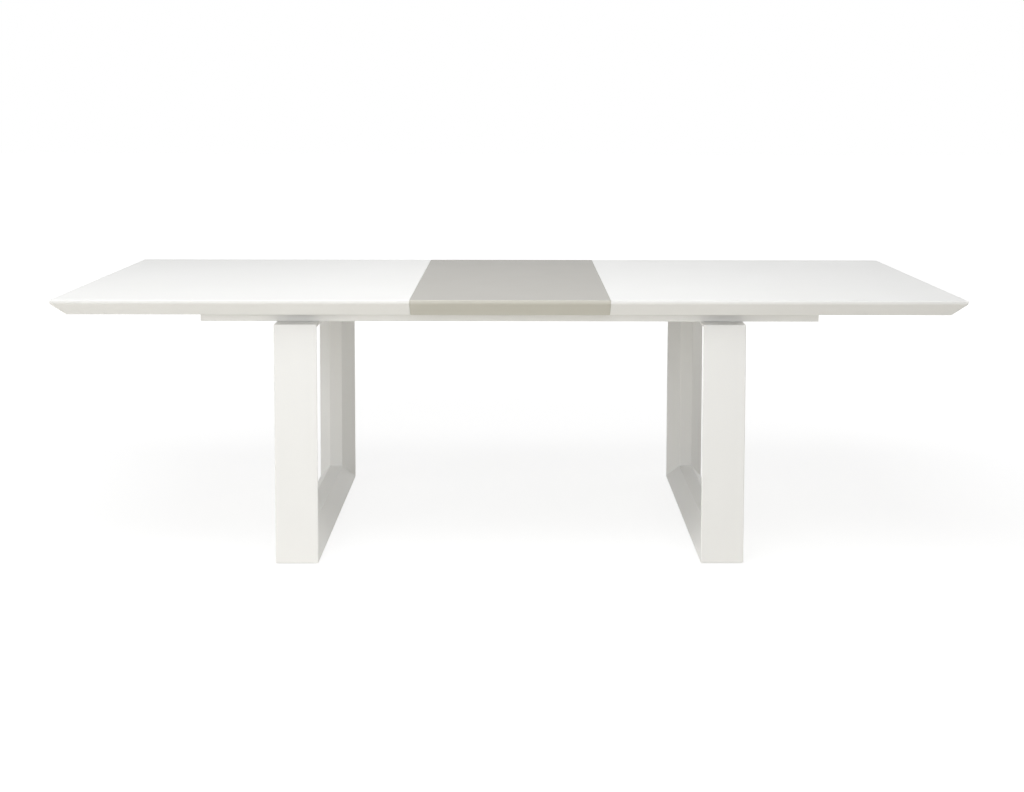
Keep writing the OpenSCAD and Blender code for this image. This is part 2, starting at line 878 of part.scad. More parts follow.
// Nylon shoes that wrap the bar's body and run in the channel
module glide_shoes(side) {
    color(nylon)
        for (row = [-1, 1], x = [runner_x + 8, runner_end_x - shoe_length - 8])
            flip_x(side < 0) flip_y(row < 0)
                along_x(x, x + shoe_length) polygon([
                    [channel_y + slide_clearance, slot_z + slide_clearance],
                    [slot_y - slide_clearance, slot_z + slide_clearance],
                    [slot_y - slide_clearance, slot_top_z - slide_clearance],
                    [channel_y + slide_clearance, slot_top_z - slide_clearance],
                    [channel_y + slide_clearance, neck_z + neck / 2],
                    [body_inner_y, neck_z + neck / 2], [body_inner_y, body_top_z],
                    [body_y, body_top_z], [body_y, body_z],
                    [body_inner_y, body_z], [body_inner_y, neck_z - neck / 2],
                    [channel_y + slide_clearance, neck_z - neck / 2]]);
}

// Steel lips that carry the leaf's edge: reach under the leaf, length under the half, width
seam_plate = [30, 50, 44];
seam_plate_thickness = 3.5;
seam_plate_y = [-0.36, 0.72];

module seam_plate_places() {
    for (share = seam_plate_y)
        translate([seam_x, share * edging_y, underside_z]) children();
}

module seam_plate_screw_places() {
    seam_plate_places()
        for (y = [-12, 12])
            translate([seam_plate[1] - 22, y, 0]) children();
}

module seam_plates(side) {
    color(zinc_steel)
        half_turn(side < 0) difference() {
            seam_plate_places() translate([0, 0, -seam_plate_thickness]) difference() {
                linear_extrude(seam_plate_thickness) polygon(softened([
                    [-seam_plate[0], -seam_plate[2] / 2], [seam_plate[1], -seam_plate[2] / 2],
                    [seam_plate[1], seam_plate[2] / 2], [-seam_plate[0], seam_plate[2] / 2]],
                    6));
                slab([-seam_plate[0] - 1, -seam_plate[2], seam_plate_thickness - slide_clearance],
                     [0, seam_plate[2], seam_plate_thickness + 1]);
            }
            seam_plate_screw_places() translate([0, 0, -seam_plate_thickness])
                screw_hole(seam_plate_thickness + 1);
        }
}

// Every screw that holds a runner, a rack or a seam plate under one half
module half_screws(side) {
    color(zinc_steel)
        half_turn(side < 0) {
            for (row = [-1, 1])
                flip_y(row < 0) runner_screw_places()
                    translate([0, 0, -wing]) screw_up(wing + edging_screw_depth);
            rack_screw_places() screw_up(rack_screw_length);
            seam_plate_screw_places() translate([0, 0, -seam_plate_thickness])
                screw_up(seam_plate_thickness + edging_screw_depth);
        }
}

// ---------------------------------------------------------------- leaf

module leaf_form() {
    intersection() {
        along_x(-leaf_end_x, leaf_end_x)
            polygon(concat(bevelled_edge(half_width), mirrored(bevelled_edge(half_width))));
        along_y(top_width)
            polygon(concat(seam_edge(-leaf_end_x), mirrored(seam_edge(-leaf_end_x))));
    }
}

module leaf_panel() {
    color(taupe_lacquer)
        intersection() {
            leaf_form();
            slab([-seam_x, -top_width, panel_z], [seam_x, top_width, table_height + 1]);
        }
}

module leaf_long_edging(row) {
    color(taupe_lacquer)
        flip_y(row < 0) difference() {
            intersection() {
                leaf_form();
                slab([-seam_x, edging_y, underside_z], [seam_x, top_width, panel_z]);
            }
            leaf_screw_places()
                cylinder(h = edging_screw_depth + hole_slack, r = screw[1] + hole_slack,
                         $fn = 48);
        }
}

module leaf_side_edgings() {
    color(taupe_lacquer)
        for (side = [-1, 1])
            flip_x(side < 0)
                slab([leaf_end_x - seam_edging_width, -edging_y, underside_z],
                     [leaf_end_x, edging_y, panel_z]);
}

// Beech battens that fit between the guide channels and keep the leaf in line
leaf_batten = [25, 12];
leaf_batten_y = channel_y - running_gap - leaf_batten[0] / 2;

module leaf_screw_places() {
    for (share = [-0.7, 0, 0.7])
        translate([share * seam_x, leaf_batten_y, underside_z]) children();
}

module leaf_battens() {
    color(beech)
        for (row = [-1, 1])
            flip_y(row < 0) difference() {
                slab([-0.9 * seam_x, leaf_batten_y - leaf_batten[0] / 2,
                      underside_z - leaf_batten[1]],
                     [0.9 * seam_x, leaf_batten_y + leaf_batten[0] / 2, underside_z]);
                leaf_screw_places() translate([0, 0, -leaf_batten[1]])
                    screw_hole(leaf_batten[1] + 1);
            }
}

module leaf_screws() {
    color(zinc_steel)
        for (row = [-1, 1])
            flip_y(row < 0) leaf_screw_places()
                translate([0, 0, -leaf_batten[1]])
                    screw_up(leaf_batten[1] + edging_screw_depth);
}

// ---------------------------------------------------------------- assembly

leg_post(-1, -1);  // left_leg_front_post
leg_post(-1, 1);  // left_leg_rear_post
floor_rail(-1);  // left_leg_floor_rail
top_rail(-1);  // left_leg_top_rail
leg_post(1, -1);  // right_leg_front_post
leg_post(1, 1);  // right_leg_rear_post
floor_rail(1);  // right_leg_floor_rail
top_rail(1);  // right_leg_top_rail
mitre_splines();
floor_glides();
leg_inserts();
leg_bolts();
side_rail(-1);  // front_side_rail
side_rail(1);  // rear_side_rail
end_rail(-1);  // left_end_rail
end_rail(1);  // right_end_rail
rail_dowels();
leg_saddle(-1);  // left_leg_saddle
leg_saddle(1);  // right_leg_saddle
centre_bridge();
saddle_screws();
guide_channel(-1);  // front_guide_channel
guide_channel(1);  // rear_guide_channel
channel_screws();
end_buffers();
leaf_pads();
pinion_axle();
pinion();
pinion_bush();
axle_washer();
axle_circlip();
top_panel(-1);  // left_top_panel
long_edging(-1, -1);  // left_front_edging
long_edging(-1, 1);  // left_rear_edging
end_edging(-1);  // left_end_edging
seam_edging(-1);  // left_seam_edging
battens(-1);  // left_battens
runners(-1);  // left_runners
glide_shoes(-1);  // left_glide_shoes
rack(-1);  // left_rack
seam_plates(-1);  // left_seam_plates
half_screws(-1);  // left_screws
top_panel(1);  // right_top_panel
long_edging(1, -1);  // right_front_edging
long_edging(1, 1);  // right_rear_edging
end_edging(1);  // right_end_edging
seam_edging(1);  // right_seam_edging
battens(1);  // right_battens
runners(1);  // right_runners
glide_shoes(1);  // right_glide_shoes
rack(1);  // right_rack
seam_plates(1);  // right_seam_plates
half_screws(1);  // right_screws
leaf_panel();
leaf_long_edging(-1);  // leaf_front_edging
leaf_long_edging(1);  // leaf_rear_edging
leaf_side_edgings();
leaf_battens();
leaf_screws();
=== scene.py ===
import math

import bpy
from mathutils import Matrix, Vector
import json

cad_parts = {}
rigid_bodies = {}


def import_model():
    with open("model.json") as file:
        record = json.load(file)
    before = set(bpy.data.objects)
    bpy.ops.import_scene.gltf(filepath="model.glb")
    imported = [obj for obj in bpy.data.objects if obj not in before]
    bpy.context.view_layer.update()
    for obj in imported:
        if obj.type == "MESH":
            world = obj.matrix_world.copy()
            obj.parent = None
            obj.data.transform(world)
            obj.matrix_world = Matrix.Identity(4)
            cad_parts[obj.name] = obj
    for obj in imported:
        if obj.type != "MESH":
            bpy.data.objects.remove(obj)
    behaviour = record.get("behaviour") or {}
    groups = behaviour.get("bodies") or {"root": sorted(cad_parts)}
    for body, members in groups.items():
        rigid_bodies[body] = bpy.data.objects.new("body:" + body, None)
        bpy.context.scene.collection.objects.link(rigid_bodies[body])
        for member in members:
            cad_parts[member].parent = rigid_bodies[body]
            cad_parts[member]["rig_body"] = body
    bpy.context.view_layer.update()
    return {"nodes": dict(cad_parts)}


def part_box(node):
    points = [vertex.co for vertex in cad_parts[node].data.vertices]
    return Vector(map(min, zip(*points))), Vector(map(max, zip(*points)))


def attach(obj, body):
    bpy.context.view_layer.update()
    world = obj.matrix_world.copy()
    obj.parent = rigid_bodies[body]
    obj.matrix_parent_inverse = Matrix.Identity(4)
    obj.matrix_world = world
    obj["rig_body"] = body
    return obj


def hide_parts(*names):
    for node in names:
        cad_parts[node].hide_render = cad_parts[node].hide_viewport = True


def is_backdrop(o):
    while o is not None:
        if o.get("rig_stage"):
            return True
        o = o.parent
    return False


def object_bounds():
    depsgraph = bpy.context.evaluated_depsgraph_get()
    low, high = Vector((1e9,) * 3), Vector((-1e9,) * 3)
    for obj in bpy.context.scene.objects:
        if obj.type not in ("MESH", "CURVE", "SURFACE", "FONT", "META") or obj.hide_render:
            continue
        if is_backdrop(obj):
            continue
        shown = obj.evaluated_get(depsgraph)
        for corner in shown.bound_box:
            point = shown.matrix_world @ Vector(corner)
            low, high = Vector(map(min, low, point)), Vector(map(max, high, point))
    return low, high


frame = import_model()

# ---------------------------------------------------------------- Leg frames
# Each leg is a closed frame of four mitred MDF members, 120 mm wide outside and tapered
# to 42 mm inside. It is glued over splines, filled, sanded and sprayed as one piece, so
# its edges are softened all round and only a hair line shows at the mitres.

MM = 0.001
MEMBER_DEPTH = 52 * MM
MEMBER_INNER_WIDTH = 42 * MM
ARRIS = 3 * MM
HAIR_LINE = 0.2 * MM
ROUND_STEPS = 4
SMOOTH_ANGLE = math.radians(40)
SAME = 0.02 * MM  # two measures that differ by less are the same, but for rounding
ALONG = 0.9  # a direction counts as along an axis from this share up
NOISE_SPREAD = {"From Min": 0.3, "From Max": 0.7}  # noise seldom goes past these


def linear(code):
    """An sRGB hex colour as the linear colour that a shader takes."""
    parts = [int(code[i:i + 2], 16) / 255 for i in (1, 3, 5)]
    return [c / 12.92 if c <= 0.04045 else ((c + 0.055) / 1.055) ** 2.4 for c in parts] + [1]


def put(tree, kind, inputs, **settings):
    """Adds a node: settings are its own, and an input takes a value or another node's output."""
    made = tree.nodes.new(kind)
    for name, value in settings.items():
        setattr(made, name, value)
    for name, value in inputs.items():
        if isinstance(value, bpy.types.NodeSocket):
            tree.links.new(value, made.inputs[name])
        else:
            made.inputs[name].default_value = value
    return made


def new_finish(name):
    """An empty material, its node tree, and the object's own coordinates."""
    finish = bpy.data.materials.new(name)
    finish.use_nodes = True
    tree = finish.node_tree
    tree.nodes.clear()
    place = put(tree, "ShaderNodeTexCoord", {}).outputs["Object"]
    return finish, tree, place


def satin_lacquer(name, light, dark, sheen):
    """Two-pack polyurethane lacquer, sprayed and left satin: even colour that drifts by a
    shade over a third of a metre, a soft sheen in 50 mm clouds, and orange peel of 2 mm, drawn
    here 5 mm wide so that it shows. A flatter grade has a lower sheen."""
    finish, tree, place = new_finish(name)
    drift = put(tree, "ShaderNodeTexNoise", {"Vector": place, "Scale": 2.2, "Detail": 2})
    peel = put(tree, "ShaderNodeTexNoise", {"Vector": place, "Scale": 200, "Detail": 1})
    haze = put(tree, "ShaderNodeTexNoise", {"Vector": place, "Scale": 14, "Detail": 3})
    colour = put(tree, "ShaderNodeMix", {0: drift.outputs["Fac"], 6: linear(light), 7: linear(dark)},
                 data_type="RGBA")
    gloss = put(tree, "ShaderNodeMapRange", {"Value": haze.outputs["Fac"], **NOISE_SPREAD,
                                            "To Min": 0.58, "To Max": 0.66})
    skin = put(tree, "ShaderNodeBump", {"Height": peel.outputs["Fac"], "Strength": 0.25,
                                       "Distance": 0.05 * MM})
    shader = put(tree, "ShaderNodeBsdfPrincipled", {
        "Base Color": colour.outputs[2], "Roughness": gloss.outputs["Result"],
        "Normal": skin.outputs["Normal"], "IOR": 1.5, "Specular IOR Level": sheen})
    put(tree, "ShaderNodeOutputMaterial", {"Surface": shader.outputs["BSDF"]})
    return finish


WHITE_LACQUER = satin_lacquer("satin_white_lacquer", "#f0f0ef", "#eeeeec", 0.2)


def blank(name, low, high):
    """A board at its place: a cube shaped to the size between two corners."""
    bpy.ops.object.select_all(action="DESELECT")
    bpy.ops.mesh.primitive_cube_add(size=1, location=(Vector(low) + Vector(high)) / 2)
    board = bpy.context.object
    board.name = name
    board.scale = Vector(high) - Vector(low)
    bpy.ops.object.transform_apply()
    return board


def only(piece):
    """Makes piece the one that the next operators act on."""
    bpy.ops.object.select_all(action="DESELECT")
    piece.select_set(True)
    bpy.context.view_layer.objects.active = piece


def choose_faces(piece, wanted):
    """Selects the faces that pass a test, and stays in edit mode."""
    bpy.ops.object.mode_set(mode="EDIT")
    bpy.ops.mesh.select_mode(type="FACE")
    bpy.ops.mesh.select_all(action="DESELECT")
    bpy.ops.object.mode_set(mode="OBJECT")
    for face in piece.data.polygons:
        face.select = wanted(face)
    bpy.ops.object.mode_set(mode="EDIT")


def saw(piece, point, direction):
    """Cuts the piece at a plane, takes away the side that direction points to, and closes it."""
    only(piece)
    bpy.ops.object.mode_set(mode="EDIT")
    bpy.ops.mesh.select_mode(type="VERT")
    bpy.ops.mesh.select_all(action="SELECT")
    bpy.ops.mesh.bisect(plane_co=point, plane_no=direction, use_fill=True, clear_outer=True)
    bpy.ops.object.mode_set(mode="OBJECT")


def soften(piece, width_of, steps=ROUND_STEPS):
    """Rounds edges as sanding does: width_of takes an edge's two ends, and gives how far its
    rounding reaches."""
    only(piece)
    points = piece.data.vertices
    widths = [width_of(*(points[i].co for i in edge.vertices)) for edge in piece.data.edges]
    widest = max(widths)
    weights = piece.data.attributes.new("bevel_weight_edge", "FLOAT", "EDGE")
    weights.data.foreach_set("value", [width / widest for width in widths])
    rounding = piece.modifiers.new("rounding", "BEVEL")
    rounding.limit_method = "WEIGHT"
    rounding.width = widest
    rounding.segments = steps
    rounding.use_clamp_overlap = False
    bpy.ops.object.modifier_apply(modifier="rounding")
    piece.data.attributes.remove(piece.data.attributes["bevel_weight_edge"])


def copy_of(piece, name):
    """A copy with its own mesh."""
    only(piece)
    bpy.ops.object.duplicate()
    twin = bpy.context.object
    twin.name = name
    return twin


def lacquered(piece, finish, node):
    """Shades the sprayed piece, gives it its finish, and lets it stand for its CAD node."""
    only(piece)
    bpy.ops.object.shade_smooth_by_angle(angle=SMOOTH_ANGLE)
    flat = piece.modifiers.new("flat", "WEIGHTED_NORMAL")
    flat.keep_sharp = True
    bpy.ops.object.modifier_apply(modifier="flat")
    piece.data.materials.clear()
    piece.data.materials.append(finish)
    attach(piece, frame["nodes"][node]["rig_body"])
    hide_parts(node)


def near(value, target):
    """Whether two measures are the same."""
    return abs(value - target) < SAME


def leg_frame(side):
    """One whole leg frame, from a block whose two sides are inset, drawn in and bridged."""
    post_low, post_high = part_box(side + "_leg_front_post")
    middle_x = (post_low.x + post_high.x) / 2
    outer_width = post_high.x - post_low.x
    corner = math.atan2(MEMBER_DEPTH, (outer_width - MEMBER_INNER_WIDTH) / 2)
    # The acute outer edges lose width as they are rounded, so the block starts that much wider
    half = outer_width / 2 + ARRIS * (1 / math.tan(corner / 2) - 1)
    low = Vector((middle_x - half, post_low.y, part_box(side + "_leg_floor_rail")[0].z))
    high = Vector((middle_x + half, -post_low.y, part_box(side + "_leg_top_rail")[1].z))
    block = blank(side + "_leg_frame", low, high)
    choose_faces(block, lambda face: abs(face.normal.x) > ALONG)
    bpy.ops.mesh.inset(thickness=MEMBER_DEPTH)
    bpy.ops.transform.resize(value=(MEMBER_INNER_WIDTH / 2 / half, 1, 1),
                             center_override=(middle_x, 0, 0))
    bpy.ops.mesh.bridge_edge_loops()
    bpy.ops.object.mode_set(mode="OBJECT")

    def width_of(a, b):
        outer = [near(abs(p.x - middle_x), half) for p in (a, b)]
        inner = [near(abs(p.x - middle_x), MEMBER_INNER_WIDTH / 2) for p in (a, b)]
        if all(outer) and near(a.x, b.x):
            return ARRIS / math.tan(corner / 2)
        if all(outer):
            return ARRIS
        if all(inner) and near(a.x, b.x):
            return ARRIS * math.tan(corner / 2)
        return 0

    soften(block, width_of)
    return block, low, high


def on_cut(point, at, away):
    """Whether a point lies on a saw cut."""
    return near((point - at).dot(away), 0)


for side in ("left", "right"):
    block, low, high = leg_frame(side)
    # Each member's two 45 degree cuts: y and z of the corner, and which way the waste lies
    mitres = {"front_post": ((low.y, low.z, 1, -1), (low.y, high.z, 1, 1)),
              "rear_post": ((high.y, low.z, -1, -1), (high.y, high.z, -1, 1)),
              "floor_rail": ((low.y, low.z, -1, 1), (high.y, low.z, 1, 1)),
              "top_rail": ((low.y, high.z, -1, -1), (high.y, high.z, 1, -1))}
    for place, cuts in mitres.items():
        node = f"{side}_leg_{place}"
        member = copy_of(block, "lacquered_" + node)
        planes = [(Vector((0, y, z)), Vector((0, away_y, away_z))) for y, z, away_y, away_z in cuts]
        for plane in planes:
            saw(member, *plane)
        soften(member, lambda a, b: HAIR_LINE if any(
            on_cut(a, *plane) and on_cut(b, *plane) for plane in planes) else 0, steps=1)
        lacquered(member, WHITE_LACQUER, node)
    bpy.data.objects.remove(block)

# ---------------------------------------------------------------- Splines
# Beech strips, planed to 4 mm, are glued into slots sawn across the mitres of the two leg
# frames. They lock the corners, and none of them shows once the frames are sprayed.


def dress(finish, *nodes):
    """Gives CAD nodes their finish."""
    for node in nodes:
        frame["nodes"][node].data.materials[0] = finish


def beech(name, grain):
    """Steamed beech, planed and clear sealed: an even pinkish tan with faint straight growth
    lines and the short brown flecks of its rays. A real fleck is 2 by 0.3 mm: it is drawn 8 by
    1 mm, so that it shows. The grain vector is short along the grain and 1 across it."""
    finish, tree, place = new_finish(name)
    board = put(tree, "ShaderNodeMapping", {"Vector": place, "Scale": grain}).outputs["Vector"]
    growth = put(tree, "ShaderNodeTexNoise", {"Vector": board, "Scale": 110, "Detail": 4})
    rays = put(tree, "ShaderNodeTexNoise", {"Vector": board, "Scale": 900, "Detail": 0})
    ground = put(tree, "ShaderNodeMix", {0: growth.outputs["Fac"], 6: linear("#dcbb92"),
                                        7: linear("#c69b6e")}, data_type="RGBA")
    fleck = put(tree, "ShaderNodeMapRange", {"Value": rays.outputs["Fac"], "From Min": 0.6,
                                            "From Max": 0.7, "To Max": 0.7})
    colour = put(tree, "ShaderNodeMix", {0: fleck.outputs["Result"], 6: ground.outputs[2],
                                        7: linear("#96683f")}, data_type="RGBA")
    sheen = put(tree, "ShaderNodeMapRange", {"Value": growth.outputs["Fac"], **NOISE_SPREAD,
                                            "To Min": 0.42, "To Max": 0.56})
    pores = put(tree, "ShaderNodeBump", {"Height": rays.outputs["Fac"], "Strength": 0.3,
                                        "Distance": 0.1 * MM})
    shader = put(tree, "ShaderNodeBsdfPrincipled", {
        "Base Color": colour.outputs[2], "Roughness": sheen.outputs["Result"],
        "Normal": pores.outputs["Normal"], "IOR": 1.5})
    put(tree, "ShaderNodeOutputMaterial", {"Surface": shader.outputs["BSDF"]})
    return finish


BEECH_ALONG_X = beech("planed_beech_along_x", (0.12, 1, 1))
dress(BEECH_ALONG_X, "mitre_splines")

# ---------------------------------------------------------------- Floor glides
# Nail-in glides of moulded nylon, four under each leg frame. They hold the lacquer off the
# floor and let the table slide on it.


NOISE_PATCH = 0.5  # metres across a small patch of noise at a scale of 1


def cloudy_finish(name, light, dark, cloud, grit, rough, **sockets):
    """A surface whose colour drifts between two shades in clouds of one size, and whose fine
    grit of another size, both in millimetres, sets its roughness and its bump."""
    finish, tree, place = new_finish(name)
    clouds = put(tree, "ShaderNodeTexNoise", {"Vector": place, "Detail": 3,
                                             "Scale": NOISE_PATCH / (cloud * MM)})
    grain = put(tree, "ShaderNodeTexNoise", {"Vector": place, "Detail": 2,
                                            "Scale": NOISE_PATCH / (grit * MM)})
    span = put(tree, "ShaderNodeMapRange", {"Value": clouds.outputs["Fac"], "From Min": 0.35,
                                           "From Max": 0.65})
    colour = put(tree, "ShaderNodeMix", {0: span.outputs["Result"], 6: linear(light),
                                        7: linear(dark)}, data_type="RGBA")
    dull = put(tree, "ShaderNodeMapRange", {"Value": grain.outputs["Fac"], **NOISE_SPREAD,
                                           "To Min": rough[0], "To Max": rough[1]})
    relief = put(tree, "ShaderNodeBump", {"Height": grain.outputs["Fac"], "Strength": 0.3,
                                         "Distance": 0.1 * grit * MM})
    shader = put(tree, "ShaderNodeBsdfPrincipled", {
        "Base Color": colour.outputs[2], "Roughness": dull.outputs["Result"],
        "Normal": relief.outputs["Normal"], **sockets})
    put(tree, "ShaderNodeOutputMaterial", {"Surface": shader.outputs["BSDF"]})
    return finish


# Natural polyamide from a spark-eroded mould: milky off-white with a dull sheen. The mould's
# texture is 0.1 mm; it is drawn 0.8 mm, so that it shows.
NYLON = cloudy_finish("moulded_natural_nylon", "#e9e6db", "#dedacb", 12, 0.8, (0.38, 0.5), IOR=1.53)
dress(NYLON, "floor_glides")

# ---------------------------------------------------------------- Inserts and bolts
# Steel inserts in each top rail take socket-head M8 bolts. All the steel is bright zinc
# plated.

# Bright zinc plate, blue passivated: a cool silver, faintly clouded in 7 mm patches
ZINC_PLATE = cloudy_finish("bright_zinc_plate", "#c2c6c8", "#b5b9bc", 7, 0.6, (0.28, 0.38),
                           Metallic=1)
dress(ZINC_PLATE, "leg_inserts", "leg_bolts")

# ---------------------------------------------------------------- Underframe
# Four straight rails, sawn from MDF, with softened edges and the same white lacquer as
# the legs. Blind dowels join them, so nothing shows at the corners but the butt joint.

BUTT_ARRIS = 0.4 * ARRIS

for node in ("front_side_rail", "rear_side_rail", "left_end_rail", "right_end_rail"):
    rail = blank("lacquered_" + node, *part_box(node))
    lengthways = 0 if "side" in node else 1
    soften(rail, lambda a, b: (
        ARRIS if abs((a - b).normalized()[lengthways]) > ALONG else BUTT_ARRIS))
    lacquered(rail, WHITE_LACQUER, node)

BEECH_ALONG_Y = beech("planed_beech_along_y", (1, 0.12, 1))
dress(BEECH_ALONG_Y, "rail_dowels")

# ---------------------------------------------------------------- Saddles and bridge
# Cross members folded from 3 mm zinc-plated sheet: one bolted down on each leg, and one at
# the centre that carries the pinion. Screws come down into them from the channels.

dress(ZINC_PLATE, "left_leg_saddle", "right_leg_saddle", "centre_bridge", "saddle_screws")

# ---------------------------------------------------------------- Guide channels
# An extruded aluminium channel, sawn to length, is screwed to the back of each side rail. Its
# open side faces the middle of the table, and the runners' shoes slide in it.


def extruded_aluminium(name):
    """Extruded aluminium, satin etched and natural anodised: silver grey, with die lines along
    its length. They are 0.2 mm wide: they are drawn 1 mm wide, so that they show."""
    finish, tree, place = new_finish(name)
    drawn = put(tree, "ShaderNodeMapping", {"Vector": place,
                                            "Scale": (0.008, 1, 1)}).outputs["Vector"]
    lines = put(tree, "ShaderNodeTexNoise", {"Vector": drawn, "Scale": 700, "Detail": 3})
    colour = put(tree, "ShaderNodeMix", {0: lines.outputs["Fac"], 6: linear("#c8cacb"),
                                        7: linear("#b2b4b6")}, data_type="RGBA")
    sheen = put(tree, "ShaderNodeMapRange", {"Value": lines.outputs["Fac"], **NOISE_SPREAD,
                                            "To Min": 0.3, "To Max": 0.46})
    score = put(tree, "ShaderNodeBump", {"Height": lines.outputs["Fac"], "Strength": 0.35,
                                        "Distance": 0.05 * MM})
    shader = put(tree, "ShaderNodeBsdfPrincipled", {
        "Base Color": colour.outputs[2], "Roughness": sheen.outputs["Result"],
        "Normal": score.outputs["Normal"], "Metallic": 1})
    put(tree, "ShaderNodeOutputMaterial", {"Surface": shader.outputs["BSDF"]})
    return finish


ALUMINIUM = extruded_aluminium("anodised_extrusion")
dress(ALUMINIUM, "front_guide_channel", "rear_guide_channel")
dress(ZINC_PLATE, "channel_screws")

# ---------------------------------------------------------------- Buffers and pads
# Rubber plugs in the channels' ends stop the runners, and felt discs on the side rails
# take the leaf.

# Moulded EPDM rubber: a matt charcoal with a dusty bloom in 10 mm clouds
RUBBER = cloudy_finish("moulded_black_rubber", "#2b2b2a", "#383836", 10, 0.6, (0.7, 0.88), IOR=1.5)
dress(RUBBER, "end_buffers")

# Pressed wool felt: mixed grey and brown fibres in 1.5 mm tufts, with no gloss
FELT = cloudy_finish("pressed_wool_felt", "#7d766d", "#585148", 1.5, 0.4, (0.9, 1),
                     **{"Specular IOR Level": 0.2})
dress(FELT, "leaf_pads")

# ---------------------------------------------------------------- Pinion and its axle
# A moulded nylon pinion turns on a shouldered steel pin, which is riveted into the bridge.
# A bronze bush is pressed into it, and a washer and a circlip keep it on.

# Sintered bronze, oil filled: a dull reddish gold, speckled by pores. A pore is 0.1 mm; here
# the speckle is 0.5 mm, so that it shows
SINTERED_BRONZE = cloudy_finish("sintered_bronze", "#b8925c", "#80603a", 0.5, 0.4, (0.4, 0.6),
                                Metallic=1)
dress(NYLON, "pinion")
dress(SINTERED_BRONZE, "pinion_bush")
dress(ZINC_PLATE, "pinion_axle", "axle_washer", "axle_circlip")

# ---------------------------------------------------------------- Half tops
# A 22 mm MDF panel, thickened underneath by mitred strips. The long and outer edges are
# planed to a 45 degree under-bevel below a 10 mm upright band, the edges are softened,
# and panel and strips are sprayed together, so that no glue line shows.

EDGE_BAND = 10 * MM
BAND_ARRIS = 7.5 * MM
SEAM_CHAMFER = 0.6 * MM
# How far a rounding reaches from its edge, for each millimetre of its radius: where a face
# meets the 45 degree bevel, and where two bevels meet
BEVEL_REACH = math.tan(math.radians(22.5))
HIP_REACH = math.tan(math.radians(30))


def top_block(name, low, high, bevelled_ends):
    """The full-thickness top with its under-bevels: two long edges, and the named ends."""
    block = blank(name, low, high)
    band_z = high.z - EDGE_BAND
    for y in (low.y, high.y):
        saw(block, (0, y, band_z), (0, math.copysign(1, y), -1))
    for x in bevelled_ends:
        saw(block, (x, 0, band_z), (math.copysign(1, x), 0, -1))

    def width_of(a, b):
        middle = (a + b) / 2
        plain_end = [x for x in (low.x, high.x)
                     if x not in bevelled_ends and near(a.x, x) and near(b.x, x)]
        if plain_end:
            return SEAM_CHAMFER
        if near(middle.z, high.z):
            return ARRIS
        if near(a.z, b.z) and near(a.z, band_z):
            return BAND_ARRIS * BEVEL_REACH
        if near(a.z, b.z):
            return ARRIS * BEVEL_REACH
        if near(max(a.z, b.z), high.z):
            return ARRIS
        return ARRIS * HIP_REACH

    soften(block, width_of)
    return block


for side, sign in (("left", -1), ("right", 1)):
    low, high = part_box(side + "_top_panel")
    panel_z = low.z
    low.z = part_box(side + "_front_edging")[0].z
    outer_x, seam_x = (low.x, high.x) if sign < 0 else (high.x, low.x)
    block = top_block(side + "_top", low, high, [outer_x])
    strip_y = -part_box(side + "_front_edging")[1].y
    mitre_x = outer_x - sign * (high.y - strip_y)
    seam_low, seam_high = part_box(side + "_seam_edging")
    seam_strip = seam_high.x - seam_low.x

    # The panel is the block's upper part, and the four strips are sawn from its lower part
    panel = copy_of(block, f"lacquered_{side}_top_panel")
    saw(panel, (0, 0, panel_z), (0, 0, -1))
    lacquered(panel, WHITE_LACQUER, side + "_top_panel")
    saw(block, (0, 0, panel_z), (0, 0, 1))
    for row, turn in (("front", -1), ("rear", 1)):
        edging = copy_of(block, f"lacquered_{side}_{row}_edging")
        saw(edging, (0, turn * strip_y, 0), (0, -turn, 0))
        saw(edging, (mitre_x, turn * strip_y, 0), (sign, -turn, 0))
        lacquered(edging, WHITE_LACQUER, f"{side}_{row}_edging")
    edging = copy_of(block, f"lacquered_{side}_end_edging")
    saw(edging, (mitre_x, 0, 0), (-sign, 0, 0))
    for turn in (-1, 1):
        saw(edging, (mitre_x, turn * strip_y, 0), (-sign, turn, 0))
    lacquered(edging, WHITE_LACQUER, side + "_end_edging")
    edging = copy_of(block, f"lacquered_{side}_seam_edging")
    saw(edging, (seam_x + sign * seam_strip, 0, 0), (sign, 0, 0))
    for turn in (-1, 1):
        saw(edging, (0, turn * strip_y, 0), (0, turn, 0))
    lacquered(edging, WHITE_LACQUER, side + "_seam_edging")
    bpy.data.objects.remove(block)

# ---------------------------------------------------------------- Under the halves
# Beech battens keep the panels flat. Aluminium bars run on nylon shoes in the channels. A
# nylon rack under each seam edge meets the pinion, and steel lips reach under the leaf.

for side in ("left", "right"):
    dress(BEECH_ALONG_Y, side + "_battens")
    dress(ALUMINIUM, side + "_runners")
    dress(NYLON, side + "_glide_shoes", side + "_rack")
    dress(ZINC_PLATE, side + "_seam_plates", side + "_screws")

# ---------------------------------------------------------------- Leaf
# The drop-in leaf is made like the halves but bevelled only along its front and back, and
# it is sprayed in warm grey. Its two seam edges are straight, with a fine chamfer on top.
# Its upper face gets a flatter grade of lacquer and is drawn a shade darker and greyer than its
# edges:
# painted shade on the level face, which leaves the edges and their rounding lighter as a painted
# highlight.

LEAF_SIDE_STRIP = 120 * MM
LEVEL = 0.99  # a face counts as lying level from this much of its normal upwards

TAUPE_LACQUER = satin_lacquer("satin_taupe_lacquer", "#cdcbc2", "#cac8bf", 0.06)
# Painted shade: the upper face's lacquer is drawn a shade darker and greyer than the edges', with a
# lower sheen
TAUPE_FACE_PAINTED_SHADE = satin_lacquer("matt_taupe_lacquer_painted_shade", "#bebcb7", "#bbb9b4", 0.02)

low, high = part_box("leaf_panel")
panel_z = low.z
low.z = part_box("leaf_front_edging")[0].z
block = top_block("leaf", low, high, [])
strip_y = -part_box("leaf_front_edging")[1].y

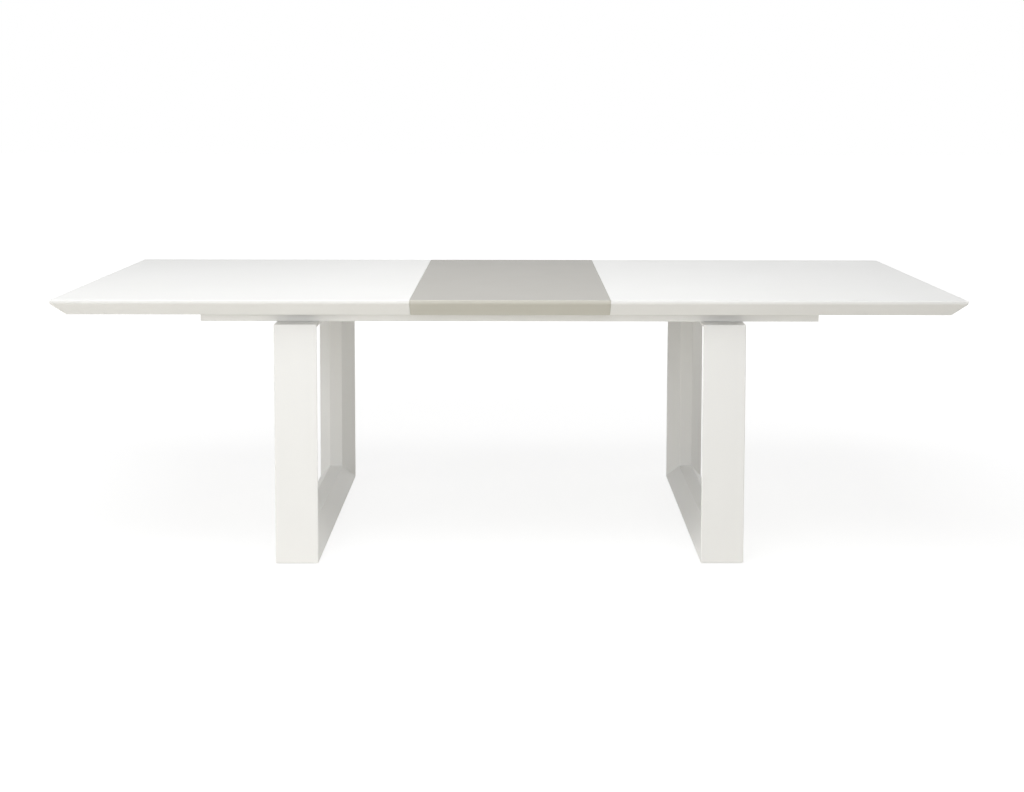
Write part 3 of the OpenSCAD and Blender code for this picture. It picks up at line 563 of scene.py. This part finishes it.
panel = copy_of(block, "lacquered_leaf_panel")
saw(panel, (0, 0, panel_z), (0, 0, -1))
lacquered(panel, TAUPE_LACQUER, "leaf_panel")
# Painted shade: the level upper faces take the darker lacquer, so the edges and their rounding stay
# lighter as a painted highlight
panel.data.materials.append(TAUPE_FACE_PAINTED_SHADE)
for face in panel.data.polygons:
    if face.normal.z > LEVEL:
        face.material_index = 1
saw(block, (0, 0, panel_z), (0, 0, 1))
for row, turn in (("front", -1), ("rear", 1)):
    edging = copy_of(block, f"lacquered_leaf_{row}_edging")
    saw(edging, (0, turn * strip_y, 0), (0, -turn, 0))
    lacquered(edging, TAUPE_LACQUER, f"leaf_{row}_edging")
strips = []
for sign in (-1, 1):
    edging = copy_of(block, "lacquered_leaf_side_edgings")
    saw(edging, (sign * (high.x - LEAF_SIDE_STRIP), 0, 0), (-sign, 0, 0))
    for turn in (-1, 1):
        saw(edging, (0, turn * strip_y, 0), (0, turn, 0))
    strips.append(edging)
only(strips[0])
strips[1].select_set(True)
bpy.ops.object.join()
lacquered(strips[0], TAUPE_LACQUER, "leaf_side_edgings")
bpy.data.objects.remove(block)

# Two beech battens under the leaf drop between the channels and keep it in line
dress(BEECH_ALONG_X, "leaf_battens")
dress(ZINC_PLATE, "leaf_screws")

# ---------------------------------------------------------------- Studio
# A plain pale floor and white surroundings, soft lamps all round and above, strongest from
# the front left, and the camera.

WHITE = linear("#ffffff")
FLOOR_SIZE = 60
LAMP_AIM = Vector((0, 0, 0.5))


def seen_directly(tree):
    """1 where the eye, a mirror or glass looks at the surroundings, 0 where they light the table."""
    ray = put(tree, "ShaderNodeLightPath", {})
    mirrored = put(tree, "ShaderNodeMath", {0: ray.outputs["Is Camera Ray"],
                                            1: ray.outputs["Is Glossy Ray"]}, operation="MAXIMUM")
    either = put(tree, "ShaderNodeMath", {0: mirrored.outputs[0],
                                          1: ray.outputs["Is Transmission Ray"]}, operation="MAXIMUM")
    return either.outputs[0]


bpy.ops.object.select_all(action="DESELECT")
bpy.ops.mesh.primitive_plane_add(size=FLOOR_SIZE)
floor = bpy.context.object
floor.name = "studio_floor"
floor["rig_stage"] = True
# Matt pale floor: a shade below white round the table, fading to white 5 m away
finish, tree, place = new_finish("pale_floor")
bounce = put(tree, "ShaderNodeBsdfDiffuse", {"Color": linear("#e9e6de")})
shown = put(tree, "ShaderNodeBsdfDiffuse", {"Color": linear("#959595")})
reach = put(tree, "ShaderNodeVectorMath", {0: place}, operation="LENGTH")
fade = put(tree, "ShaderNodeMapRange", {"Value": reach.outputs["Value"], "From Min": 1.2,
                                       "From Max": 5, "To Min": 0.78, "To Max": 1},
           interpolation_type="SMOOTHSTEP")
glow = put(tree, "ShaderNodeEmission", {"Color": WHITE, "Strength": fade.outputs["Result"]})
bright = put(tree, "ShaderNodeAddShader", {0: shown.outputs[0], 1: glow.outputs[0]})
choice = put(tree, "ShaderNodeMixShader", {0: seen_directly(tree), 1: bounce.outputs[0],
                                          2: bright.outputs[0]})
put(tree, "ShaderNodeOutputMaterial", {"Surface": choice.outputs[0]})
floor.data.materials.append(finish)

world = bpy.data.worlds.new("studio")
bpy.context.scene.world = world
world.use_nodes = True
tree = world.node_tree
tree.nodes.clear()
lit = put(tree, "ShaderNodeBackground", {"Color": WHITE, "Strength": 0.3})
white = put(tree, "ShaderNodeBackground", {"Color": WHITE, "Strength": 1})
choice = put(tree, "ShaderNodeMixShader", {0: seen_directly(tree), 1: lit.outputs[0],
                                          2: white.outputs[0]})
put(tree, "ShaderNodeOutputWorld", {"Surface": choice.outputs[0]})

# Each lamp's place and size in metres, and its power in watts
LAMPS = {"front": ((-1.4, -5.0, 1.5), (4.0, 2.2), 73),
         "front_high": ((-0.9, -4.0, 3.0), (4.0, 1.6), 13),
         "left": ((-4.6, -1.0, 2.0), (2.5, 2.0), 39),
         "right": ((4.4, 2.2, 1.6), (2.5, 2.0), 37),
         "rear": ((0.8, 5.0, 1.5), (4.0, 2.2), 40),
         "overhead": ((-0.4, -1.3, 3.3), (3.6, 1.4), 61)}
for name, (place, size, watts) in LAMPS.items():
    lamp = bpy.data.lights.new(name, "AREA")
    lamp.shape = "RECTANGLE"
    lamp.size, lamp.size_y = size
    lamp.energy = watts
    holder = bpy.data.objects.new(name, lamp)
    bpy.context.scene.collection.objects.link(holder)
    holder.location = place
    holder.rotation_euler = (LAMP_AIM - Vector(place)).to_track_quat("-Z", "Y").to_euler()
    holder.visible_camera = False

camera = bpy.data.cameras.new("camera")
camera.sensor_width = 36
camera.lens = 49.507
camera.shift_x, camera.shift_y = -0.01806, -0.1914
camera.clip_end = 200
holder = bpy.data.objects.new("camera", camera)
bpy.context.scene.collection.objects.link(holder)
holder.location = (0.01597, -4.34331, 1.29863)
holder.rotation_euler = [math.radians(angle) for angle in (86.0115, -0.1527, -0.5714)]
bpy.context.scene.camera = holder
bpy.context.scene.view_settings.view_transform = "Standard"

low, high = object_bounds()
